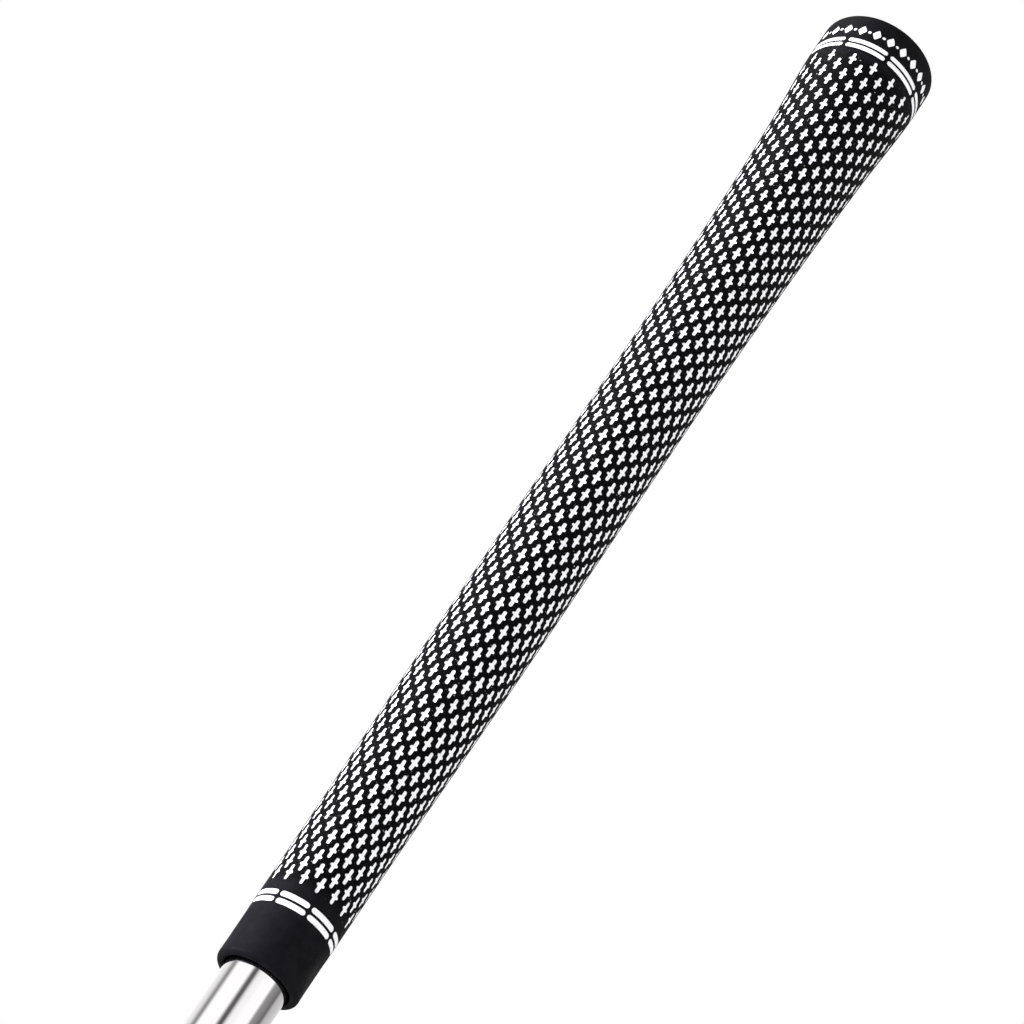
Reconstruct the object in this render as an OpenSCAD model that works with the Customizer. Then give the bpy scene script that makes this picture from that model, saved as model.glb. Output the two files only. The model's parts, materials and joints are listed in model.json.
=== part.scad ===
// Golf grip fitted on the butt of a tapered steel shaft.
// +Z runs up the shaft, from its cut end through the grip's mouth to the butt cap.
// The origin is the centre of the shaft's cut end.

/* [Grip] */
// Length of the grip from its mouth to its butt
grip_len = 268.5; // [255:0.5:280]
// Outer diameter at the mouth
mouth_d = 17.4; // [17.2:0.1:18.5]
// Outer diameter of the butt cap
cap_d = 26.9; // [25:0.1:29]
// Length of the butt cap's outer wall
cap_len = 11.6; // [11.4:0.1:13]
// Thickness of the butt cap's end wall
cap_floor = 4.8; // [3.5:0.1:6]
// Diameter of the vent hole in the butt cap
vent_d = 4; // [3:0.1:5]
// Radius of the cap's outer edge
cap_edge_r = 1; // [0.4:0.1:1.4]
// Diameter of the countersink at the mouth
relief_d = 14; // [14:0.1:14.6]
// Depth of the countersink at the mouth
relief_len = 6; // [3:0.5:10]

/* [Shaft] */
// Length of bare shaft below the mouth
stub_len = 40; // [20:1:120]
// Outer diameter of the bare shaft
stub_d = 13.3; // [12.6:0.1:13.6]
// Outer diameter of the shaft's butt
butt_d = 15.24; // [14.8:0.01:15.6]
// Wall thickness of the steel tube
shaft_wall = 0.55; // [0.4:0.05:0.8]
// Length of the taper above the mouth
taper_len = 160; // [100:5:190]

/* [Tape] */
// Thickness of the double-sided tape
tape_t = 0.2; // [0.1:0.05:0.3]
// Distance from the mouth to the tape's lower edge
tape_inset = 15; // [10:1:30]
// Length of tape tucked into the shaft's butt
tape_tail = 12; // [5:1:20]

/* [Marks] */
// Distance from the mouth to the lower edge of the first ring
mouth_ring_z = 12; // [8:0.1:13]
// Distance from the butt to the lower edge of the third ring
cap_ring_drop = 11; // [10.6:0.1:11]
// Width of one painted ring
ring_w = 1.2; // [0.8:0.05:1.3]
// Spacing of the two rings of a pair
ring_pitch = 1.7; // [1.5:0.05:1.9]
// Number of dashes in one ring
dash_count = 8; // [4:1:12]
// Bare gap between two dashes, in degrees
dash_gap = 3.6; // [2:0.1:8]
// Angle from the front of the grip to the first gap
gap_offset = 5.6; // [0:0.1:22]
// Depth of the painted recesses
paint_t = 0.4; // [0.2:0.05:0.5]
// Number of lozenges around the cap
lozenge_count = 24; // [12:1:24]
// Height of a lozenge along the grip
lozenge_h = 3; // [1.5:0.1:3.2]
// Width of a lozenge around the cap
lozenge_w = 2; // [1:0.1:2.1]
// Diameter of the dot between two lozenges
dot_d = 0.8; // [0.4:0.1:1]

/* [Hidden] */
$fn = 96;
eps = 0.01;

// Levels along the shaft
mouth_z = stub_len;
grip_end_z = mouth_z + grip_len;
seam_z = grip_end_z - cap_len;
cap_inside_z = grip_end_z - cap_floor;
shaft_end_z = cap_inside_z - tape_t;
taper_end_z = mouth_z + taper_len;
tape_start_z = mouth_z + tape_inset;

// The tongue of the cap that sits inside the sleeve's end
tongue_len = 4;
tongue_d = 20;

// Shallow dish in the cap's end face
dish_d = 18;
dish_depth = 0.5;

// Roundings of the mouth's outer and inner edges
lip_r = 1;
relief_r = 0.5;

// Heights above the mouth where the plain outline starts and the countersink ends
lip_end = 1.2;
relief_edge = 1.5;

// Angle at which the cap's side runs into its rounded edge
cap_edge_start = 15;

// Depth of the paint below the rubber around it
paint_drop = 0.03;

// How far the cutters of the recesses stand out of the rubber
cutter_rise = 1;

// Distances from the mouth to the third ring and to the middle of the lozenges
cap_ring_z = grip_len - cap_ring_drop;
lozenge_rise = 2.8;
lozenge_z = cap_ring_z + ring_pitch + ring_w + lozenge_rise;

// Girth of the grip: share of its length, share of the growth from the mouth to the cap
GIRTH = [[0, 0], [0.05, 0.01], [0.143, 0.05], [0.289, 0.18], [0.435, 0.24], [0.581, 0.285],
         [0.728, 0.42], [0.874, 0.705], [0.957, 0.98], [1, 1]];
girth_last = len(GIRTH) - 1;
girth_step = 0.02;

// Slope of the girth curve at one of its points
function girth_slope(i) =
    i == 0 || i == girth_last ? 0
    : (GIRTH[i + 1][1] - GIRTH[i - 1][1]) / (GIRTH[i + 1][0] - GIRTH[i - 1][0]);

// Smooth cubic between point i and the next one, at share t of the way
function girth_cubic(i, t) =
    let (span = GIRTH[i + 1][0] - GIRTH[i][0])
    GIRTH[i][1] * (2 * t * t * t - 3 * t * t + 1)
    + GIRTH[i + 1][1] * (3 * t * t - 2 * t * t * t)
    + girth_slope(i) * span * (t * t * t - 2 * t * t + t)
    + girth_slope(i + 1) * span * (t * t * t - t * t);

// Share of the growth at share s of the length
function girth_at(s, i = 0) =
    i + 1 < girth_last && s > GIRTH[i + 1][0] ? girth_at(s, i + 1)
    : girth_cubic(i, (s - GIRTH[i][0]) / (GIRTH[i + 1][0] - GIRTH[i][0]));

// Outer radius of the grip at distance d from the mouth
function grip_r(d) =
    let (s = max(0, min(1, d / grip_len)))
    (mouth_d + (cap_d - mouth_d) * max(0, min(1, girth_at(s)))) / 2;

// Outer radius of the shaft at height z
function shaft_r(z) =
    z <= mouth_z ? stub_d / 2
    : z >= taper_end_z ? butt_d / 2
    : (stub_d + (butt_d - stub_d) * (z - mouth_z) / taper_len) / 2;

// Outline points of the grip's surface between two distances from the mouth
function outline(from, to) =
    let (step = girth_step * grip_len, n = max(1, ceil((to - from) / step)))
    [for (k = [0:n]) let (d = from + (to - from) * k / n) [grip_r(d), mouth_z + d]];

// Points of a quarter round about a centre, between two angles
function arc(cx, cy, r, from, to, n = 6) =
    [for (k = [0:n]) let (a = from + (to - from) * k / n) [cx + r * cos(a), cy + r * sin(a)]];

// Radius of the paint's outer face on a mark at distance d from the mouth
function mark_r(d) = grip_r(d) - paint_drop;

// One dash of a ring, outside its recess by a given amount
module dash(a, d, outside) {
    arc_len = 360 / dash_count - dash_gap;
    rotate([0, 0, a - arc_len / 2 - 90])
        rotate_extrude(angle = arc_len)
            translate([mark_r(d) - paint_t, mouth_z + d])
                square([paint_t + outside, ring_w]);
}

// All dashes of the ring whose lower edge is at distance d from the mouth
module ring(d, outside = 0) {
    pitch = 360 / dash_count;
    for (k = [0:dash_count - 1])
        dash(gap_offset + (k + 0.5) * pitch, d, outside);
}

// Part of the cap's skin behind a flat outline that stands on the cap at angle a
module mark(a, outside) {
    r = mark_r(lozenge_z);
    intersection() {
        translate([0, 0, mouth_z + lozenge_z - lozenge_h])
            difference() {
                cylinder(r = r + outside, h = 2 * lozenge_h);
                translate([0, 0, -eps])
                    cylinder(r = r - paint_t, h = 2 * lozenge_h + 2 * eps);
            }
        translate([0, 0, mouth_z + lozenge_z])
            rotate([0, 0, a - 90])
                rotate([0, 90, 0])
                    linear_extrude(height = cap_d)
                        children();
    }
}

// Lozenges and dots around the cap
module lozenges(outside = 0) {
    pitch = 360 / lozenge_count;
    for (k = [0:lozenge_count - 1]) {
        mark(k * pitch, outside)
            polygon([[lozenge_h / 2, 0], [0, lozenge_w / 2], [-lozenge_h / 2, 0],
                     [0, -lozenge_w / 2]]);
        mark((k + 0.5) * pitch, outside)
            circle(d = dot_d, $fn = 24);
    }
}

// Tapered steel tube, cut off below the grip
module shaft_butt() {
    color("#c8cacd")
        difference() {
            rotate_extrude()
                polygon([[0, 0], [shaft_r(0), 0], [shaft_r(0), mouth_z],
                         [butt_d / 2, taper_end_z], [butt_d / 2, shaft_end_z], [0, shaft_end_z]]);
            translate([0, 0, -eps])
                cylinder(d = stub_d - 2 * shaft_wall, h = mouth_z + 2 * eps);
            translate([0, 0, mouth_z])
                cylinder(d1 = stub_d - 2 * shaft_wall, d2 = butt_d - 2 * shaft_wall, h = taper_len);
            translate([0, 0, taper_end_z - eps])
                cylinder(d = butt_d - 2 * shaft_wall, h = shaft_end_z - taper_end_z + 2 * eps);
        }
}

// Double-sided tape around the shaft, folded over its end and tucked inside
module grip_tape() {
    start_r = shaft_r(tape_start_z);
    inner_r = butt_d / 2 - shaft_wall;
    color("#d9cfae")
        rotate_extrude()
            polygon([[start_r, tape_start_z], [start_r + tape_t, tape_start_z],
                     [butt_d / 2 + tape_t, taper_end_z], [butt_d / 2 + tape_t, cap_inside_z],
                     [inner_r - tape_t, cap_inside_z], [inner_r - tape_t, shaft_end_z - tape_tail],
                     [inner_r, shaft_end_z - tape_tail], [inner_r, shaft_end_z],
                     [butt_d / 2, shaft_end_z], [butt_d / 2, taper_end_z]]);
}

// Rubber sleeve, with a countersunk mouth and recesses for the mouth rings
module grip_sleeve() {
    relief_z = mouth_z + relief_len;
    start_r = shaft_r(tape_start_z);
    color("#1d1d20")
        difference() {
            rotate_extrude()
                polygon(concat(
                    arc(mouth_d / 2 - lip_r, mouth_z + lip_r, lip_r, -90, 0),
                    outline(lip_end, grip_len - cap_len),
                    [[tongue_d / 2, seam_z], [tongue_d / 2, seam_z - tongue_len],
                     [butt_d / 2 + tape_t, seam_z - tongue_len],
                     [butt_d / 2 + tape_t, taper_end_z],
                     [start_r + tape_t, tape_start_z], [start_r, tape_start_z],
                     [shaft_r(relief_z), relief_z], [relief_d / 2, mouth_z + relief_edge]],
                    arc(relief_d / 2 + relief_r, mouth_z + relief_r, relief_r, 180, 270)));
            ring(mouth_ring_z, cutter_rise);
            ring(mouth_ring_z + ring_pitch, cutter_rise);
        }
}

// Moulded butt cap with its tongue, vent hole and recesses for its marks
module butt_cap() {
    bore_r = butt_d / 2 + tape_t;
    color("#17171a")
        difference() {
            rotate_extrude()
                polygon(concat(
                    [[bore_r, seam_z - tongue_len], [tongue_d / 2, seam_z - tongue_len],
                     [tongue_d / 2, seam_z]],
                    outline(grip_len - cap_len, grip_len - cap_edge_r),
                    arc(cap_d / 2 - cap_edge_r, grip_end_z - cap_edge_r, cap_edge_r,
                        cap_edge_start, 90),
                    [[dish_d / 2, grip_end_z], [dish_d / 2 - dish_depth, grip_end_z - dish_depth],
                     [0, grip_end_z - dish_depth], [0, cap_inside_z], [bore_r, cap_inside_z]]));
            translate([0, 0, cap_inside_z - eps])
                cylinder(d = vent_d, h = cap_floor, $fn = 48);
            ring(cap_ring_z, cutter_rise);
            ring(cap_ring_z + ring_pitch, cutter_rise);
            lozenges(cutter_rise);
        }
}

// Painted rings and lozenges
module mouth_ring_lower() {
    color("white")
        ring(mouth_ring_z);
}

module mouth_ring_upper() {
    color("white")
        ring(mouth_ring_z + ring_pitch);
}

module cap_ring_lower() {
    color("white")
        ring(cap_ring_z);
}

module cap_ring_upper() {
    color("white")
        ring(cap_ring_z + ring_pitch);
}

module cap_lozenges() {
    color("white")
        lozenges();
}

shaft_butt();
grip_tape();
grip_sleeve();
butt_cap();
mouth_ring_lower();
mouth_ring_upper();
cap_ring_lower();
cap_ring_upper();
cap_lozenges();
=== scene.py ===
"""Looks of a rubber golf grip on the butt of a steel shaft.

Lengths are in millimetres until a mesh is made.
Angles around the grip run from its front (-Y) towards +X.
"""

import json
import math

import bpy
import numpy as np
from mathutils import Matrix, Vector, geometry

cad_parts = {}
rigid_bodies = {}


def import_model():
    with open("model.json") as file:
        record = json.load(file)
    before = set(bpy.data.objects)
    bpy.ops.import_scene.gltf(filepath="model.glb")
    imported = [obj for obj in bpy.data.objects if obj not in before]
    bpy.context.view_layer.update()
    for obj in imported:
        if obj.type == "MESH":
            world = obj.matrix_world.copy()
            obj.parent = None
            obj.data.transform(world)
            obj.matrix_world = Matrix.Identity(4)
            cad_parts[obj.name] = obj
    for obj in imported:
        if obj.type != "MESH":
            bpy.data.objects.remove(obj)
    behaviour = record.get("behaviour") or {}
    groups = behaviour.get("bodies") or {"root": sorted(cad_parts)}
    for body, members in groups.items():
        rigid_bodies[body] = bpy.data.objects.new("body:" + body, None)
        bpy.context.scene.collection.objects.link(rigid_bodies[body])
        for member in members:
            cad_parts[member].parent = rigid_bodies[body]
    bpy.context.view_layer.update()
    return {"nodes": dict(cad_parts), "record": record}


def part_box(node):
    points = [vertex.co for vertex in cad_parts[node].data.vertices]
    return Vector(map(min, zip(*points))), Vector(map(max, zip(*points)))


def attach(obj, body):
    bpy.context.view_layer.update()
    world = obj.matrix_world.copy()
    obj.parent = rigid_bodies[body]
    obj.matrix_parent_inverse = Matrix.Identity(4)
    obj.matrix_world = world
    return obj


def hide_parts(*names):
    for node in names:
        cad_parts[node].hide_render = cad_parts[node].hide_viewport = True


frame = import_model()

MM = 0.001
BODY = "root"
RNG = np.random.default_rng(7)

# ---------------------------------------------------------------- sizes from the frame

mouth_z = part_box("grip_sleeve")[0].z / MM
butt_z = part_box("butt_cap")[1].z / MM
grip_len = butt_z - mouth_z
cap_d = 2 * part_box("butt_cap")[1].x / MM
shaft_low, shaft_high = (corner.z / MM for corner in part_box("shaft_butt"))
shaft_butt_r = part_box("shaft_butt")[1].x / MM
tape_low, tape_high = (corner.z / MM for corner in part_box("grip_tape"))
tape_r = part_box("grip_tape")[1].x / MM
mount_r = {m["name"]: m["dims"].get("r_mm") for m in frame["record"]["mounts"]}
stub_r = mount_r["shaft_end"]
stub_bore_r = mount_r["shaft_bore"]
vent_r = mount_r["vent_hole"]

# ---------------------------------------------------------------- driving dimensions

mouth_d = 17.4
cap_len = 11.6
seam_z = butt_z - cap_len
seam_bevel = 0.08
tongue_len = 4.0
tongue_z = seam_z - tongue_len
tongue_r = 10.0
tongue_bevel = 0.2
taper_len = 160.0
relief_r = 7.0
relief_len = 6.0
lip_r = 1.0
inner_lip_r = 0.5
cap_edge_r = 1.0
dish_r = 9.0
dish_depth = 0.5

# Share of the grip's length, share of the growth from the mouth to the cap
GIRTH = np.array([
    (0, 0), (0.05, 0.01), (0.143, 0.05), (0.289, 0.18), (0.435, 0.24),
    (0.581, 0.285), (0.728, 0.42), (0.874, 0.705), (0.957, 0.98), (1, 1),
])

# The lattice of crosses: even columns hold whole rows, odd columns sit half a row higher
COLUMNS = 32
ROWS = 49
row_pitch = 4.9
first_row = mouth_z + 19.1
column_angle = 2 * math.pi / COLUMNS

# The crosses' length, the width of their arms, and their span from side to side at the mouth and at the cap
cross_len = 3.5
cross_width = 0.7
cross_fillet = 0.14
cross_span_low, cross_span_high = 1.62, 1.8

# The other marks
ring_width = 1.2
ring_pitch = 1.7
DASHES = 8
dash_gap_deg = 3.4
gap_offset = column_angle / 2
mouth_ring = mouth_z + 12
cap_ring = butt_z - 11
LOZENGES = 24
lozenge_height, lozenge_width = 3.0, 2.0
dot_d = 0.8
lozenge_z = cap_ring + ring_pitch + ring_width + 2.8
recess_depth = 0.42
paint_drop = 0.05

# Points around the grip, and the equal sectors that its marked bands are made in
SEGMENTS = 2 * COLUMNS
SECTORS = DASHES


# ---------------------------------------------------------------- the grip's surface


def girth_slopes():
    """Slope of the girth curve at each of its points, level at both ends."""
    slopes = np.zeros(len(GIRTH))
    slopes[1:-1] = (GIRTH[2:, 1] - GIRTH[:-2, 1]) / (GIRTH[2:, 0] - GIRTH[:-2, 0])
    return slopes


GIRTH_SLOPES = girth_slopes()


def outer_radius(z):
    """Radius of the grip at height z, on the smooth cubic through the girth points."""
    share = np.clip((np.asarray(z, float) - mouth_z) / grip_len, 0, 1)
    i = np.clip(np.searchsorted(GIRTH[:, 0], share, "right") - 1, 0, len(GIRTH) - 2)
    span = GIRTH[i + 1, 0] - GIRTH[i, 0]
    t = (share - GIRTH[i, 0]) / span
    growth = (
        GIRTH[i, 1] * (2 * t**3 - 3 * t**2 + 1)
        + GIRTH[i + 1, 1] * (3 * t**2 - 2 * t**3)
        + GIRTH_SLOPES[i] * span * (t**3 - 2 * t**2 + t)
        + GIRTH_SLOPES[i + 1] * span * (t**3 - t**2)
    )
    return (mouth_d + (cap_d - mouth_d) * np.clip(growth, 0, 1)) / 2


def at_angle(angle, z, radius):
    """Points at an angle around the grip, a height and a radius."""
    angle, z, radius = np.broadcast_arrays(angle, z, radius)
    return np.stack([radius * np.sin(angle), -radius * np.cos(angle), z], axis=-1)


def on_skin(angle, z, depth=0.0):
    """Points at a depth below the grip's surface."""
    return at_angle(angle, z, outer_radius(z) - depth)


def skin_normals(points):
    """The grip's true surface normals at points on it."""
    step = 0.05
    slope = (outer_radius(points[:, 2] + step) - outer_radius(points[:, 2] - step)) / (2 * step)
    across = points[:, :2] / np.linalg.norm(points[:, :2], axis=1)[:, None]
    normals = np.column_stack([across, -slope])
    return normals / np.linalg.norm(normals, axis=1)[:, None]


# ---------------------------------------------------------------- mesh tools


def triangulate(outline, holes=()):
    """Triangles of a flat outline less its holes, as indices into outline + holes, anticlockwise."""
    only_inside, tolerance = 1, 1e-7
    points = [tuple(p) for ring in (outline, *holes) for p in ring]
    faces, start = [], 0
    for ring in (outline, *holes):
        faces.append(list(range(start, start + len(ring))))
        start += len(ring)
    flat = [Vector(p) for p in points]
    done = geometry.delaunay_2d_cdt(flat, [], faces, only_inside, tolerance)
    _, _, pieces, old_points, _, old_faces = done
    triangles = []
    for piece, parents in zip(pieces, old_faces):
        # A piece inside a hole has that hole among its parents, beside the outline, which is face 0
        if set(parents) != {0}:
            continue
        a, b, c = (old_points[i][0] for i in piece)
        (ax, ay), (bx, by), (cx, cy) = points[a], points[b], points[c]
        area = (bx - ax) * (cy - ay) - (cx - ax) * (by - ay)
        triangles.append((a, b, c) if area > 0 else (a, c, b))
    return np.array(triangles)


def ring_quads(count, low, high):
    """Quads between two rings of count points that start at low and high; low's side comes first."""
    i = np.arange(count)
    j = (i + 1) % count
    return np.column_stack([low + i, low + j, high + j, high + i])


def fan(count, ring, tip):
    """Triangles between a ring of count points that starts at ring and one point, tip."""
    i = np.arange(count)
    return np.column_stack([np.full(count, tip), ring + i, ring + (i + 1) % count])


def repeated(faces, stride, times):
    """The same faces for each of a row of pieces whose points are stride apart."""
    starts = (np.arange(times) * stride)[:, None, None]
    return (faces + starts).reshape(-1, faces.shape[1])


class Shell:
    """A mesh put together from patches, whose shared points are joined."""

    WELD = 1e-4

    def __init__(self):
        self.points, self.faces, self.count = [], [], 0

    def add(self, points, faces, skin=False):
        """Adds points and their faces, which are arrays of triangles or quads.

        skin marks faces that lie on the grip's true surface.
        """
        points = np.asarray(points, float).reshape(-1, 3)
        for block in faces:
            self.faces.append((np.asarray(block, int) + self.count, skin))
        self.points.append(points)
        self.count += len(points)

    def loft(self, rings):
        """Quads between one ring of points and the next, each as (count, 3)."""
        count = len(rings[0])
        faces = [ring_quads(count, k * count, (k + 1) * count) for k in range(len(rings) - 1)]
        self.add(np.concatenate(rings), faces)

    def build(self, name, sharp_deg=35):
        """The finished object, with true normals on the skin and sharp edges elsewhere."""
        points = np.concatenate(self.points)
        cells = np.round(points / self.WELD).astype(np.int64)
        _, first, joined = np.unique(cells, axis=0, return_index=True, return_inverse=True)
        points, joined = points[first], joined.reshape(-1)
        corners, sizes, skin = [], [], []
        for block, on_surface in self.faces:
            block = joined[block]
            distinct = np.array([len(set(face)) == len(face) for face in block.tolist()], bool)
            corners.append(block[distinct].reshape(-1))
            sizes.append(np.full(distinct.sum(), block.shape[1]))
            skin.append(np.full(distinct.sum() * block.shape[1], on_surface))
        corners, sizes, skin = (np.concatenate(part) for part in (corners, sizes, skin))
        mesh = bpy.data.meshes.new(name)
        mesh.vertices.add(len(points))
        mesh.vertices.foreach_set("co", (points * MM).astype(np.float32).reshape(-1))
        mesh.loops.add(len(corners))
        mesh.loops.foreach_set("vertex_index", corners.astype(np.int32))
        mesh.polygons.add(len(sizes))
        mesh.polygons.foreach_set("loop_start", (np.cumsum(sizes) - sizes).astype(np.int32))
        mesh.update(calc_edges=True)
        mesh.polygons.foreach_set("use_smooth", np.ones(len(sizes), bool))
        mesh.set_sharp_from_angle(angle=math.radians(sharp_deg))
        if skin.any():
            normals = np.zeros((len(corners), 3))
            normals[skin] = skin_normals(points[corners[skin]])
            mesh.normals_split_custom_set(normals.tolist())
        obj = bpy.data.objects.new(name, mesh)
        bpy.context.scene.collection.objects.link(obj)
        return obj


def lathe(profile, segments=SEGMENTS):
    """Rings of points around the axis for a profile of (radius, z)."""
    angles = np.arange(segments) * 2 * math.pi / segments
    return [at_angle(angles, z, radius) for radius, z in profile]


def arc(cx, cy, radius, start_deg, end_deg, steps):
    """Points of a round from one angle to another about a centre."""
    angles = np.radians(np.linspace(start_deg, end_deg, steps + 1))
    return [(cx + radius * math.cos(a), cy + radius * math.sin(a)) for a in angles]


# ---------------------------------------------------------------- outlines of the marks


def mirrored(quarter):
    """A whole outline from its first quarter, which runs from the +x axis to the +y axis."""
    q = np.array(quarter)
    second = (q * (-1, 1))[::-1]
    half = np.concatenate([q, second[1:]])
    return np.concatenate([half, -half[1:-1]])


def cross_outline(span, inset=0.0):
    """A cross with round ends, its long arm along y. Each quarter has the same number of points."""
    half = cross_width / 2 - inset
    reach, rise = span / 2 - inset, cross_len / 2 - inset
    inner = half + 0.3 * cross_fillet
    side_arm = arc(reach - half, 0, half, 0, 90, 2)
    corner = [(inner, inner), (half, half + cross_fillet)]
    long_arm = arc(0, rise - half, half, 0, 90, 2)
    return mirrored(side_arm + corner + long_arm)


def dash_outline(length, inset=0.0):
    """A straight dash with round ends, along x."""
    half = ring_width / 2 - inset
    reach = length / 2 - ring_width / 2
    side = [(x, half) for x in np.linspace(reach, 0, 9)[1:]]
    return mirrored(arc(reach, 0, half, 0, 90, 4) + side)


def lozenge_outline(inset=0.0):
    """An upright lozenge with slightly bowed sides."""
    sharpness = 1.6
    bow = 0.06
    rise, reach = lozenge_height / 2 - sharpness * inset, lozenge_width / 2 - inset
    side = []
    for t in np.linspace(0, 1, 7):
        out = bow * math.sin(math.pi * t)
        side.append((reach * (1 - t) + out, rise * t + out))
    return mirrored(side)


def dot_outline(inset=0.0):
    """A round dot."""
    return mirrored(arc(0, 0, dot_d / 2 - inset, 0, 90, 5))


def smooth_ring(values, rounds=3):
    """Evens out values along closed outlines, the second axis, so that neighbours move together."""
    for _ in range(rounds):
        values = (2 * values + np.roll(values, 1, axis=1) + np.roll(values, -1, axis=1)) / 4
    return values


class Mark:
    """A painted recess: an outline as a function of its inset, and its place on the grip."""

    FLOOR_INSET = 0.05
    PAINT_INSET = 0.012
    # The paint's base lies a little inside the rubber
    BASE_INSET = FLOOR_INSET - 0.02
    BASE_DEPTH = recess_depth + 0.01

    def __init__(self, outline, angle, z, crown_inset, crown_drop):
        self.outline, self.angle, self.z = outline, angle, z
        self.crown_inset, self.crown_drop = crown_inset, crown_drop

    def flat(self, inset=0.0):
        """The outline in the unrolled surface, as angles and heights."""
        local = self.outline(inset)
        return self.angle + local[:, 0] / outer_radius(self.z), self.z + local[:, 1]

    def ring(self, inset=0.0, depth=0.0):
        """The outline in space."""
        angle, z = self.flat(inset)
        return on_skin(angle, z, depth)

    def fill(self):
        """Triangles that fill the outline."""
        return triangulate(self.outline())

    def cut(self, shell):
        """Adds the recess's wall and floor."""
        rim, floor = self.ring(), self.ring(self.FLOOR_INSET, recess_depth)
        count = len(rim)
        walls = ring_quads(count, 0, count)
        shell.add(np.concatenate([rim, floor]), [walls, self.fill() + count])

    def paint(self, shell):
        """Adds the paint that fills the recess, a closed solid with a hollow crown."""
        edge = self.ring(self.PAINT_INSET, paint_drop)
        crown = self.ring(self.crown_inset, paint_drop + self.crown_drop)
        base = self.ring(self.BASE_INSET, self.BASE_DEPTH)
        count = len(edge)
        top = ring_quads(count, 0, count)
        side = ring_quads(count, 2 * count, 0)
        fill = self.fill()
        faces = [top, side, fill + count, fill[:, ::-1] + 2 * count]
        shell.add(np.concatenate([edge, crown, base]), faces)


def ring_marks(z):
    """The dashes of one ring whose lower edge is at height z."""
    middle = z + ring_width / 2
    pitch = 2 * math.pi / DASHES
    length = (pitch - math.radians(dash_gap_deg)) * float(outer_radius(middle))
    return [
        Mark(lambda inset=0.0: dash_outline(length, inset), gap_offset + (k + 0.5) * pitch, middle,
             crown_inset=0.3, crown_drop=0.03)
        for k in range(DASHES)
    ]


def cap_marks():
    """The lozenges around the cap, with a dot between each two."""
    pitch = 2 * math.pi / LOZENGES
    marks = []
    for k in range(LOZENGES):
        marks.append(Mark(lozenge_outline, k * pitch, lozenge_z, crown_inset=0.3, crown_drop=0.03))
        marks.append(Mark(dot_outline, (k + 0.5) * pitch, lozenge_z, crown_inset=0.15, crown_drop=0.02))
    return marks


# ---------------------------------------------------------------- the lattice of crosses


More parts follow.
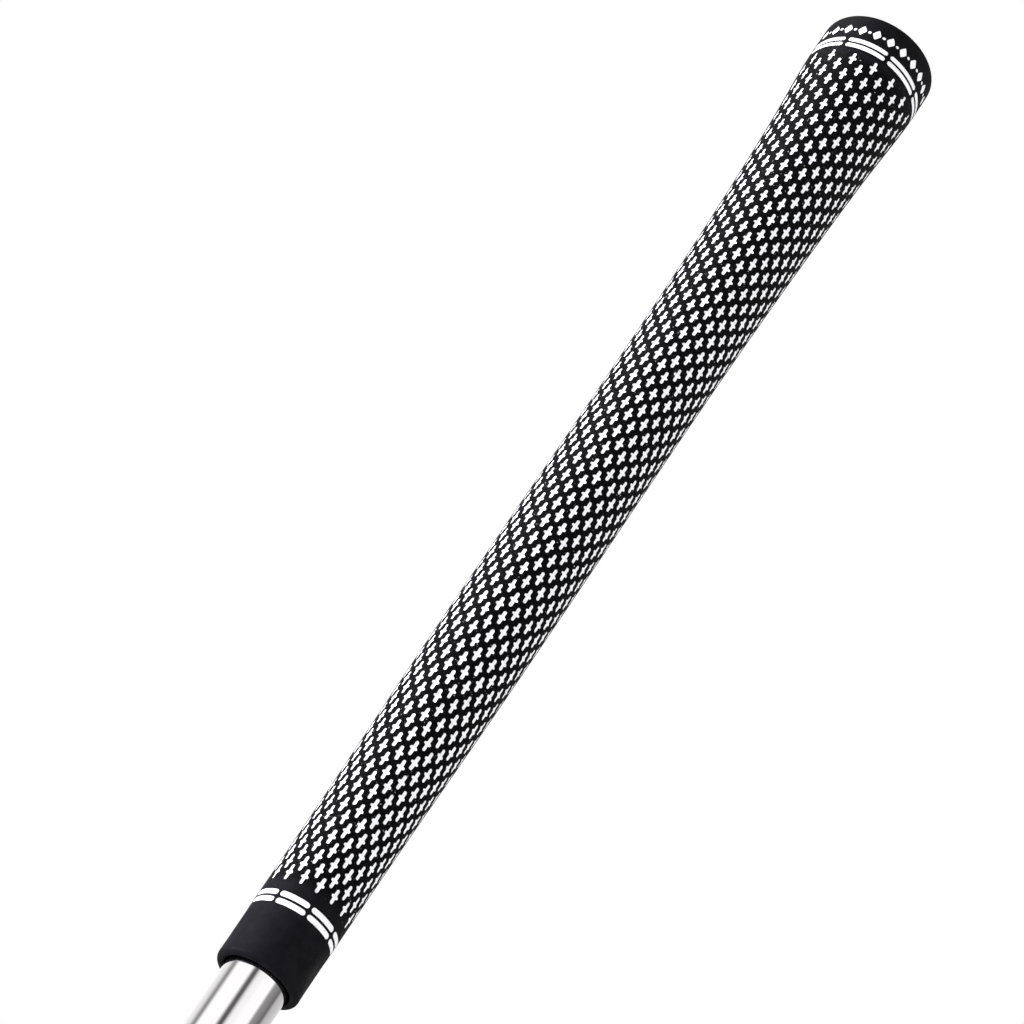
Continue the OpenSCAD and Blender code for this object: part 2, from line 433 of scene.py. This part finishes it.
class Lattice:
    """The staggered crosses, and the rubber between them."""

    SIZE_WOBBLE, MOST_SIZE_WOBBLE = 0.035, 0.08
    EDGE_WOBBLE = 0.045
    TURN_WOBBLE = math.radians(1.3)
    LEVELS = 2 * ROWS - 1
    # The paint's hollow crown: its inset, its depth with the most that it varies by, and its middle's depth
    CROWN_INSET = 0.2
    CROWN_DROP, CROWN_UNEVEN = 0.1, 0.08
    MIDDLE_DROP = 0.24

    def __init__(self):
        self.ids = {}
        self.centres = []
        for level in range(self.LEVELS):
            for column in range(COLUMNS):
                if (column + level) % 2 == 0:
                    self.ids[column, level] = len(self.centres)
                    self.centres.append((column * column_angle, self.height(level)))
        self.centres = np.array(self.centres)
        count = len(self.centres)
        self.points = len(cross_outline(cross_span_low))
        wobble = RNG.normal(0, self.SIZE_WOBBLE, (count, 1, 2))
        self.size = 1 + wobble.clip(-self.MOST_SIZE_WOBBLE, self.MOST_SIZE_WOBBLE)
        self.edge = smooth_ring(RNG.normal(0, self.EDGE_WOBBLE, (count, self.points, 2)))
        self.turn = RNG.normal(0, self.TURN_WOBBLE, count)

    @staticmethod
    def height(level):
        return first_row + level * row_pitch / 2

    @classmethod
    def bounds(cls):
        """Heights between which the crosses fade in, and between which they fade out."""
        return cls.height(-1), cls.height(0), cls.height(cls.LEVELS - 1), cls.height(cls.LEVELS)

    def outlines(self, inset=0.0):
        """Every cross's outline in the unrolled surface, as (crosses, points, angle and height)."""
        angle, z = self.centres[:, :1], self.centres[:, 1:]
        share = (z - first_row) / ((ROWS - 1) * row_pitch)
        low = cross_outline(cross_span_low, inset)[None]
        high = cross_outline(cross_span_high, inset)[None]
        local = (low + (high - low) * share[:, :, None]) * self.size + self.edge
        c, s = np.cos(self.turn)[:, None], np.sin(self.turn)[:, None]
        x = local[:, :, 0] * c - local[:, :, 1] * s
        y = local[:, :, 0] * s + local[:, :, 1] * c
        height = z + y
        return np.stack([angle + x / outer_radius(height), height], axis=-1)

    def rings(self, inset, depth):
        """Every outline in space."""
        flat = self.outlines(inset)
        return on_skin(flat[..., 0], flat[..., 1], depth)

    def corner(self, column, level, quadrant, free):
        """Point ids at one corner of a cell: a cross's quarter outline, or one free point."""
        found = self.ids.get((column % COLUMNS, level))
        if found is None:
            return [free(column % COLUMNS, level)]
        quarter = self.points // 4
        start = (quadrant + 1) * quarter
        return [found * self.points + (start - i) % self.points for i in range(quarter + 1)]

    def add_land(self, shell):
        """Adds the rubber between the crosses, cell by cell, with a plain row of cells at each end."""
        flat = self.outlines().reshape(-1, 2)
        extra, extra_ids = [], {}

        def free(column, level):
            key = (column, level)
            if key not in extra_ids:
                extra_ids[key] = len(flat) + len(extra)
                extra.append((column * column_angle, self.height(level)))
            return extra_ids[key]

        cells = []
        for level in range(-1, self.LEVELS):
            for column in range(COLUMNS):
                ids = self.corner(column, level, 0, free)
                if level == -1:
                    ids.append(free(column + 0.5, level))
                ids += self.corner(column + 1, level, 1, free)
                ids += self.corner(column + 1, level + 1, 2, free)
                if level == self.LEVELS - 1:
                    ids.append(free(column + 0.5, level + 1))
                ids += self.corner(column, level + 1, 3, free)
                cells.append((column, level, ids))
        flat = np.concatenate([flat, np.array(extra)])
        faces = []
        for column, level, ids in cells:
            ids = np.array(ids)
            middle = (column + 0.5) * column_angle
            angle = (flat[ids, 0] - middle + math.pi) % (2 * math.pi) - math.pi
            radius = float(outer_radius(self.height(level + 0.5)))
            outline = np.column_stack([angle * radius, flat[ids, 1] - self.height(level)])
            faces.append(ids[triangulate(outline)])
        shell.add(on_skin(flat[:, 0], flat[:, 1]), [np.concatenate(faces)], skin=True)

    def add_recesses(self, shell):
        """Adds every recess's wall and floor."""
        count = self.points
        rim = self.rings(0, 0)
        floor = self.rings(Mark.FLOOR_INSET, recess_depth)
        centre = on_skin(self.centres[:, 0], self.centres[:, 1], recess_depth)[:, None]
        points = np.concatenate([rim, floor, centre], axis=1)
        crosses, stride = points.shape[:2]
        faces = [ring_quads(count, 0, count), fan(count, count, 2 * count)]
        shell.add(points, [repeated(block, stride, crosses) for block in faces])

    def add_paint(self, shell, parity):
        """Adds the paint of the crosses on even or odd columns."""
        chosen = np.array([column % 2 == parity for column, _ in self.ids])
        count = self.points
        uneven = RNG.uniform(0, self.CROWN_UNEVEN, (len(self.centres), 1))
        edge = self.rings(Mark.PAINT_INSET, paint_drop)[chosen]
        crown = self.rings(self.CROWN_INSET, paint_drop + self.CROWN_DROP + uneven)[chosen]
        base = self.rings(Mark.BASE_INSET, Mark.BASE_DEPTH)[chosen]
        angle, z = self.centres[chosen, 0], self.centres[chosen, 1]
        middle = on_skin(angle, z, paint_drop + self.MIDDLE_DROP)[:, None]
        bottom = on_skin(angle, z, Mark.BASE_DEPTH)[:, None]
        points = np.concatenate([edge, crown, base, middle, bottom], axis=1)
        crosses, stride = points.shape[:2]
        quads = np.concatenate([ring_quads(count, 0, count), ring_quads(count, 2 * count, 0)])
        top_fan = fan(count, count, 3 * count)
        bottom_fan = fan(count, 2 * count, 3 * count + 1)[:, [0, 2, 1]]
        fans = np.concatenate([top_fan, bottom_fan])
        shell.add(points, [repeated(block, stride, crosses) for block in (quads, fans)])


# ---------------------------------------------------------------- rubber around the rings and marks


def add_marked_band(shell, low_z, high_z, marks):
    """Adds the rubber between two heights around the marks, one sector at a time, and the recesses."""
    sector = 2 * math.pi / SECTORS
    steps = SEGMENTS // SECTORS
    side_step = 1.2
    radius = float(outer_radius((low_z + high_z) / 2))
    side = np.linspace(low_z, high_z, max(2, round((high_z - low_z) / side_step)))
    for k in range(SECTORS):
        start = gap_offset + k * sector
        across = np.linspace(0, sector, steps + 1)
        border = [(a, low_z) for a in across]
        border += [(sector, z) for z in side[1:-1]]
        border += [(a, high_z) for a in across[::-1]]
        border += [(0, z) for z in side[-2:0:-1]]
        holes = []
        for mark in marks:
            angle, z = mark.flat()
            middle = (mark.angle - start) % (2 * math.pi)
            if middle < sector:
                holes.append(list(zip(angle - mark.angle + middle, z)))
        flat = [[(a * radius, z) for a, z in ring] for ring in (border, *holes)]
        triangles = triangulate(flat[0], flat[1:])
        points = np.array([p for ring in (border, *holes) for p in ring])
        shell.add(on_skin(points[:, 0] + start, points[:, 1]), [triangles], skin=True)
    for mark in marks:
        mark.cut(shell)


def taper_radius(z, low_r, high_r):
    """Radius at height z of something that follows the shaft's taper."""
    share = min(1.0, max(0.0, (z - mouth_z) / taper_len))
    return low_r + (high_r - low_r) * share


def make_sleeve(lattice, rings):
    """The rubber sleeve: mouth, dashed rings, crosses, seam with the cap, and bore."""
    shell = Shell()
    band_low = mouth_z + 1.4
    lattice_low, lattice_high = Lattice.height(-1), Lattice.height(Lattice.LEVELS)
    lattice.add_land(shell)
    lattice.add_recesses(shell)
    add_marked_band(shell, band_low, lattice_low, rings)
    tape_t = tape_r - shaft_butt_r
    seam_r = float(outer_radius(seam_z))
    top = [
        (float(outer_radius(lattice_high)), lattice_high),
        (seam_r, seam_z - seam_bevel), (seam_r - seam_bevel, seam_z),
        (tongue_r, seam_z), (tongue_r, tongue_z), (tape_r, tongue_z),
    ]
    bore = [(tape_r, mouth_z + taper_len)]
    for z in np.linspace(mouth_z + taper_len, tape_low, 8)[1:]:
        bore.append((taper_radius(z, stub_r, shaft_butt_r) + tape_t, z))
    bore.append((taper_radius(tape_low, stub_r, shaft_butt_r), tape_low))
    relief_z = mouth_z + relief_len
    relief_wall = 1.5
    shaft_gap = 0.02
    mouth_r = mouth_d / 2
    mouth = [(taper_radius(relief_z, stub_r, shaft_butt_r) + shaft_gap, relief_z)]
    mouth.append((relief_r, mouth_z + relief_wall))
    mouth += arc(relief_r + inner_lip_r, mouth_z + inner_lip_r, inner_lip_r, 180, 270, 5)
    mouth += arc(mouth_r - lip_r, mouth_z + lip_r, lip_r, -90, 0, 7)
    mouth.append((float(outer_radius(band_low)), band_low))
    shell.loft(lathe(top + bore + mouth))
    return shell.build("rubber_sleeve")


def make_cap(marks):
    """The butt cap: marked wall, rounded edge, dished end with a low ring and a vent, and tongue."""
    shell = Shell()
    wall_low, wall_high = seam_z + 0.3, butt_z - 1.6
    add_marked_band(shell, wall_low, wall_high, marks)
    seam_r = float(outer_radius(seam_z))
    cap_r = cap_d / 2
    dish_z = butt_z - dish_depth
    dish_lip, dish_lip_drop = 0.15, 0.08
    ring_r, ring_rise = 6.4, 0.25
    ring_foot, ring_top = 0.4, 0.15
    funnel_r, funnel_drop = 0.9, 0.3
    funnel_step, funnel_step_drop = 0.25, 0.06
    end = [(float(outer_radius(wall_high)), wall_high)]
    end += arc(cap_r - cap_edge_r, butt_z - cap_edge_r, cap_edge_r, 0, 90, 8)
    end += [
        (dish_r + dish_depth, butt_z), (dish_r + dish_lip, butt_z - dish_lip_drop),
        (dish_r - dish_depth, dish_z),
        (ring_r + ring_foot, dish_z), (ring_r + ring_top, dish_z + ring_rise),
        (ring_r - ring_top, dish_z + ring_rise), (ring_r - ring_foot, dish_z),
        (vent_r + funnel_r, dish_z), (vent_r + funnel_step, dish_z - funnel_step_drop),
        (vent_r, dish_z - funnel_drop), (vent_r, tape_high),
    ]
    tongue = [
        (tape_r, tape_high), (tape_r, tongue_z + tongue_bevel), (tape_r + tongue_bevel, tongue_z),
        (tongue_r - tongue_bevel, tongue_z), (tongue_r, tongue_z + tongue_bevel), (tongue_r, seam_z),
    ]
    seam = [
        (seam_r - seam_bevel, seam_z), (seam_r, seam_z + seam_bevel),
        (float(outer_radius(wall_low)), wall_low),
    ]
    shell.loft(lathe(end + tongue + seam))
    return shell.build("rubber_cap")


def make_shaft():
    """The steel tube, with a deburred cut end, its taper and a bevelled butt."""
    wall = stub_r - stub_bore_r
    bevel = 0.12
    even_z = shaft_low + 2
    outer = [(stub_r - bevel, shaft_low)]
    outer += arc(stub_r - bevel, shaft_low + bevel, bevel, -90, 0, 3)[1:]
    outer += [(stub_r, z) for z in np.linspace(even_z, mouth_z, 12)]
    for z in np.linspace(mouth_z, mouth_z + taper_len, 16)[1:]:
        outer.append((taper_radius(z, stub_r, shaft_butt_r), z))
    outer += [(shaft_butt_r, shaft_high - bevel), (shaft_butt_r - bevel, shaft_high)]
    inner = [(stub_bore_r + bevel, shaft_low), (stub_bore_r, shaft_low + bevel)]
    inner += [(stub_bore_r, z) for z in np.linspace(even_z, mouth_z, 6)]
    inner += [
        (shaft_butt_r - wall, mouth_z + taper_len), (shaft_butt_r - wall, shaft_high - bevel),
        (shaft_butt_r - wall + bevel, shaft_high),
    ]
    profile = outer + inner[::-1] + outer[:1]
    shell = Shell()
    shell.loft(lathe(profile, segments=160))
    return shell.build("steel_shaft", sharp_deg=50)


def make_paint(name, marks):
    """The paint of a group of marks."""
    shell = Shell()
    for mark in marks:
        mark.paint(shell)
    return shell.build(name, sharp_deg=50)


# ---------------------------------------------------------------- materials


class Nodes:
    """A short way to write a node tree: most calls make one node and give its output."""

    def __init__(self, tree):
        self.tree = tree

    def node(self, kind, **settings):
        made = self.tree.nodes.new("ShaderNode" + kind)
        for key, value in settings.items():
            setattr(made, key, value)
        return made

    def put(self, value, socket):
        """Feeds a socket with another node's output, or with a plain value."""
        if isinstance(value, bpy.types.NodeSocket):
            self.tree.links.new(value, socket)
        else:
            socket.default_value = value

    def math(self, operation, a, b=0):
        made = self.node("Math", operation=operation)
        self.put(a, made.inputs[0])
        self.put(b, made.inputs[1])
        return made.outputs[0]

    def spread(self, value, low, high, to_low, to_high):
        """value from low to high becomes to_low to to_high, clamped."""
        made = self.node("MapRange", clamp=True)
        self.put(value, made.inputs["Value"])
        self.put(low, made.inputs["From Min"])
        self.put(high, made.inputs["From Max"])
        self.put(to_low, made.inputs["To Min"])
        self.put(to_high, made.inputs["To Max"])
        return made.outputs["Result"]

    def mix(self, factor, a, b):
        """Colour a where factor is 0 and colour b where it is 1. A tuple is red, green and blue."""
        made = self.node("Mix", data_type="RGBA")
        self.put(factor, made.inputs["Factor"])
        for socket, colour in ((made.inputs[6], a), (made.inputs[7], b)):
            self.put((*colour, 1) if isinstance(colour, tuple) else colour, socket)
        return made.outputs[2]


class Material(Nodes):
    """A new material's nodes."""

    def __init__(self, name):
        self.material = bpy.data.materials.new(name)
        self.material.use_nodes = True
        super().__init__(self.material.node_tree)
        self.shader = self.tree.nodes["Principled BSDF"]
        self.where = self.node("TexCoord").outputs["Object"]

    def noise(self, size_mm, detail=2.0, stretch=(1, 1, 1)):
        """Noise with features about size_mm across, longer along an axis whose stretch is under 1."""
        mapped = self.node("Mapping")
        self.put(stretch, mapped.inputs["Scale"])
        self.put(self.where, mapped.inputs["Vector"])
        made = self.node("TexNoise")
        self.put(1 / (size_mm * MM), made.inputs["Scale"])
        self.put(detail, made.inputs["Detail"])
        self.put(mapped.outputs["Vector"], made.inputs["Vector"])
        return made.outputs["Fac"]

    def bump(self, height, distance_mm, strength=1.0, below=None):
        made = self.node("Bump")
        self.put(strength, made.inputs["Strength"])
        self.put(distance_mm * MM, made.inputs["Distance"])
        self.put(height, made.inputs["Height"])
        if below is not None:
            self.put(below, made.inputs["Normal"])
        return made.outputs["Normal"]

    def set(self, **values):
        """Constant values on the shader's own sockets."""
        for key, value in values.items():
            self.shader.inputs[key.replace("_", " ")].default_value = value

    def finish(self, colour, roughness, normal):
        self.put(colour, self.shader.inputs["Base Color"])
        self.put(roughness, self.shader.inputs["Roughness"])
        self.put(normal, self.shader.inputs["Normal"])
        return self.material


def scale(values, factor):
    """Each of the values times a factor."""
    return tuple(factor * value for value in values)


def rubber(name, tone, specks):
    """Black moulded rubber, mottled and finely grained.

    specks is the strength of the flecks of stray paint between the crosses. Where there are any, the rubber
    between the crosses is also darker and speckled.
    """
    n = Material(name)
    mottle = n.noise(2.2, 3)
    grain = n.noise(0.22, 2)
    ripple = n.noise(1.1, 2)
    colour = n.mix(n.spread(mottle, 0.35, 0.65, 0, 1), scale(tone, 0.8), scale(tone, 1.2))
    if specks:
        split = n.node("SeparateXYZ")
        n.put(n.where, split.inputs[0])
        z = split.outputs["Z"]
        fade_in_low, fade_in_high, fade_out_low, fade_out_high = scale(Lattice.bounds(), MM)
        start = n.spread(z, fade_in_low, fade_in_high, 0, 1)
        end = n.spread(z, fade_out_low, fade_out_high, 1, 0)
        # 1 between the crosses, and 0 on the plain rubber at either end
        crossed = n.math("MULTIPLY", start, end)
        speckle = n.spread(n.noise(0.45, 2), 0.38, 0.7, 0, 1)
        colour = n.mix(crossed, colour, n.mix(speckle, scale(tone, 0.02), scale(tone, 0.6)))
        patch = n.spread(n.noise(1.7, 1), 0.52, 0.62, 0, specks)
        dot = n.spread(n.noise(0.3, 1), 0.72, 0.78, 0, 1)
        fleck = n.math("MULTIPLY", dot, n.math("MULTIPLY", patch, crossed))
        stray_paint = (0.8, 0.8, 0.82)
        colour = n.mix(fleck, colour, stray_paint)
    rough = n.spread(grain, 0.3, 0.7, 0.5, 0.66)
    normal = n.bump(grain, 0.03, 0.6, below=n.bump(ripple, 0.05, 0.3))
    n.set(Specular_IOR_Level=0.03)
    return n.finish(colour, rough, normal)


def white_paint(name):
    """Matt white paint fill, a little uneven, with grey patches that are partly thin paint and partly
    painted shade.
    """
    n = Material(name)
    uneven = n.noise(0.55, 2)
    thin_paint_and_shade = n.noise(0.2, 3)
    colour = n.mix(n.spread(uneven, 0.35, 0.6, 0, 1), (0.86, 0.86, 0.89), (0.95, 0.95, 0.96))
    # Grey patches at random: partly thin paint, partly painted shade
    colour = n.mix(n.spread(thin_paint_and_shade, 0.6, 0.72, 0, 0.55), colour, (0.42, 0.42, 0.45))
    rough = n.spread(uneven, 0.3, 0.7, 0.4, 0.6)
    n.set(Specular_IOR_Level=0.4)
    return n.finish(colour, rough, n.bump(thin_paint_and_shade, 0.02, 0.6))


def steel(name):
    """Bright plated steel, drawn lengthwise, with faint handling marks."""
    n = Material(name)
    drawn = n.noise(0.35, 2, stretch=(1, 1, 0.012))
    smudge = n.noise(9, 3)
    colour = n.mix(n.spread(drawn, 0.35, 0.65, 0, 1), (0.88, 0.855, 0.865), (0.93, 0.905, 0.91))
    rough = n.spread(smudge, 0.35, 0.65, 0.04, 0.07)
    n.set(Metallic=1.0)
    return n.finish(colour, rough, n.bump(drawn, 0.001, 0.1))


def paper_tape(name):
    """Crinkled paper tape."""
    n = Material(name)
    crepe = n.noise(0.5, 3, stretch=(1, 1, 4))
    colour = n.mix(n.spread(crepe, 0.3, 0.7, 0, 1), (0.62, 0.54, 0.36), (0.8, 0.73, 0.55))
    return n.finish(colour, n.spread(crepe, 0.3, 0.7, 0.7, 0.9), n.bump(crepe, 0.05, 0.8))


def pale_floor(name):
    """Matt white studio paper."""
    n = Material(name)
    fibre = n.noise(4, 3)
    colour = n.mix(n.spread(fibre, 0.3, 0.7, 0, 1), (0.86, 0.86, 0.86), (0.88, 0.88, 0.88))
    return n.finish(colour, n.spread(fibre, 0.3, 0.7, 0.85, 0.95), n.bump(fibre, 0.02, 0.2))


# ---------------------------------------------------------------- camera and studio

camera_distance = 588.79
camera_drop = 218.65
camera_lens = 122.36
camera_pan, camera_tilt, camera_roll = (math.radians(a) for a in (-0.991, 32.408, 34.627))

# The studio's panels and their brightness, each at the place where the shaft mirrors it, from its left edge
# (-1) to its right edge (1), which takes in the whole circle. There are a dim strip and a narrow dark one
# between three wide white panels, a dark screen on the right, and a grey wall behind the grip
STRIPES = [
    (-1, 0.94), (-0.86, 0.66), (-0.77, 0.24), (-0.735, 0.24), (-0.65, 0.89),
    (-0.29, 0.89), (-0.2, 0.12), (-0.13, 0.08), (-0.03, 0.76), (0.3, 0.89),
    (0.43, 0.88), (0.51, 0.25), (0.62, 0.19), (0.71, 0.12), (0.78, 0.4), (0.97, 0.55), (1, 0.75),
]
# The same for the rest of the studio, higher, lower and level with the grip: it lights rubber and paint
FILL = [(-1, 0.45), (-0.87, 0.6), (-0.7, 0.95), (0.3, 1.0), (0.7, 1.4), (0.9, 0.6), (1, 0.15)]
studio_strength = 1.28
# Sines of the elevations, up or down, between which the studio's stripes fade in and out
STRIPES_LOW = (0.12, 0.26)
STRIPES_HIGH = (0.5, 0.65)


def make_camera():
    """The camera below and in front of the mouth, looking up along the grip."""
    data = bpy.data.cameras.new("camera")
    data.lens = camera_lens
    data.sensor_width = 36
    data.clip_start = 0.01
    camera = bpy.data.objects.new("camera", data)
    bpy.context.scene.collection.objects.link(camera)
    level = Matrix.Rotation(math.radians(90), 3, "X")
    turn = Matrix.Rotation(-camera_pan, 3, "Z") @ Matrix.Rotation(camera_tilt, 3, "X") @ level
    turn = turn @ Matrix.Rotation(camera_roll, 3, "Z")
    spot = Vector((0, -camera_distance, -camera_drop)) * MM
    camera.matrix_world = Matrix.Translation(spot) @ turn.to_4x4()
    bpy.context.scene.camera = camera


def make_world():
    """A white background, and a studio that lights the grip with darker and lighter panels around it."""
    world = bpy.data.worlds.new("studio")
    world.use_nodes = True
    bpy.context.scene.world = world
    n = Nodes(world.node_tree)
    n.tree.nodes.clear()

    def panels(turn, stops):
        """Brightness around the circle. The shaft's edge mirrors what is behind it, its middle the front."""
        made = n.node("ValToRGB")
        elements = made.color_ramp.elements
        elements.remove(elements[1])
        for k, (across, brightness) in enumerate(stops):
            position = 0.5 + math.asin(across) / math.pi
            stop = elements[0] if k == 0 else elements.new(position)
            stop.position = position
            stop.color = (brightness, brightness, brightness, 1)
        n.put(turn, made.inputs["Fac"])
        return made.outputs["Color"]

    direction = n.node("SeparateXYZ")
    n.put(n.node("TexCoord").outputs["Generated"], direction.inputs[0])
    x, y, z = direction.outputs
    azimuth = n.math("ARCTAN2", x, n.math("MULTIPLY", y, -1))
    turn = n.spread(azimuth, -math.pi, math.pi, 0, 1)
    height = n.math("ABSOLUTE", z)
    above = n.spread(height, *STRIPES_LOW, 0, 1)
    below = n.spread(height, *STRIPES_HIGH, 1, 0)
    studio = n.node("Background")
    striped = n.math("MULTIPLY", above, below)
    n.put(n.mix(striped, panels(turn, FILL), panels(turn, STRIPES)), studio.inputs["Color"])
    n.put(studio_strength, studio.inputs["Strength"])
    backdrop = n.node("Background")
    n.put((1, 1, 1, 1), backdrop.inputs["Color"])
    seen = n.node("MixShader")
    n.put(n.node("LightPath").outputs["Is Camera Ray"], seen.inputs["Fac"])
    n.put(studio.outputs[0], seen.inputs[1])
    n.put(backdrop.outputs[0], seen.inputs[2])
    n.put(seen.outputs[0], n.node("OutputWorld").inputs["Surface"])


def make_light(name, location, size, energy):
    """A soft light, faintly violet, that faces the grip's middle."""
    data = bpy.data.lights.new(name, "AREA")
    data.shape = "RECTANGLE"
    data.size, data.size_y = size
    data.energy = energy
    data.color = (0.98, 0.95, 1.06)
    light = bpy.data.objects.new(name, data)
    bpy.context.scene.collection.objects.link(light)
    light.location = location
    middle = Vector((0, 0, 0.15))
    light.rotation_euler = (middle - light.location).to_track_quat("-Z", "Y").to_euler()
    return light


def keep_off(obj, lights):
    """Keeps lights off a mirror-like piece, which would show them as hard white blocks."""
    unlit = bpy.data.collections.new("unlit_by_side_lights")
    unlit.objects.link(obj)
    unlit.collection_objects[0].light_linking.link_state = "EXCLUDE"
    for light in lights:
        light.light_linking.receiver_collection = unlit


def make_floor():
    """A wide pale floor well below the grip and the camera, which the steel doesn't mirror."""
    size, drop = 12.0, 0.75
    corners = [(-size, -size), (size, -size), (size, size), (-size, size)]
    mesh = bpy.data.meshes.new("floor")
    mesh.from_pydata([(x, y, -drop) for x, y in corners], [], [(0, 1, 2, 3)])
    floor = bpy.data.objects.new("floor", mesh)
    bpy.context.scene.collection.objects.link(floor)
    floor.visible_glossy = False
    mesh.materials.append(pale_floor("studio_paper"))


# ---------------------------------------------------------------- assembly


def place(obj, material, slot, *nodes):
    """Finishes a piece: its material, its body and the CAD nodes that it stands for. slot is not used."""
    obj.data.materials.clear()
    obj.data.materials.append(material)
    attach(obj, BODY)
    if nodes:
        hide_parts(*nodes)


def main():
    make_camera()
    make_world()
    lights = [
        make_light("high_left", (-0.89, -0.12, 0.92), (0.5, 0.7), 8),
        make_light("low_left", (-0.89, -0.05, -0.07), (0.5, 0.45), 19),
    ]
    make_floor()
    bpy.context.scene.view_settings.view_transform = "Standard"

    sleeve_rubber = rubber("sleeve_rubber", tone=(0.0062, 0.0058, 0.0078), specks=0.9)
    cap_rubber = rubber("cap_rubber", tone=(0.004, 0.0038, 0.005), specks=0)
    paint = white_paint("white_paint")

    ring_nodes = {
        "mouth_ring_lower": mouth_ring,
        "mouth_ring_upper": mouth_ring + ring_pitch,
        "cap_ring_lower": cap_ring,
        "cap_ring_upper": cap_ring + ring_pitch,
    }
    rings = {node: ring_marks(z) for node, z in ring_nodes.items()}
    lozenges = cap_marks()
    lattice = Lattice()

    sleeve = make_sleeve(lattice, rings["mouth_ring_lower"] + rings["mouth_ring_upper"])
    place(sleeve, sleeve_rubber, "sleeve_rubber", "grip_sleeve")
    cap = make_cap(rings["cap_ring_lower"] + rings["cap_ring_upper"] + lozenges)
    place(cap, cap_rubber, "cap_rubber", "butt_cap")
    shaft = make_shaft()
    place(shaft, steel("plated_steel"), "steel", "shaft_butt")
    keep_off(shaft, lights)
    for node, marks in rings.items():
        place(make_paint(node + "_paint", marks), paint, "white_paint", node)
    place(make_paint("cap_lozenges_paint", lozenges), paint, "white_paint", "cap_lozenges")
    for parity, name in enumerate(("even", "odd")):
        shell = Shell()
        lattice.add_paint(shell, parity)
        place(shell.build(f"cross_paint_{name}_columns", sharp_deg=50), paint, "white_paint")

    tape = frame["nodes"]["grip_tape"]
    tape.data.materials.clear()
    tape.data.materials.append(paper_tape("paper_tape"))


main()
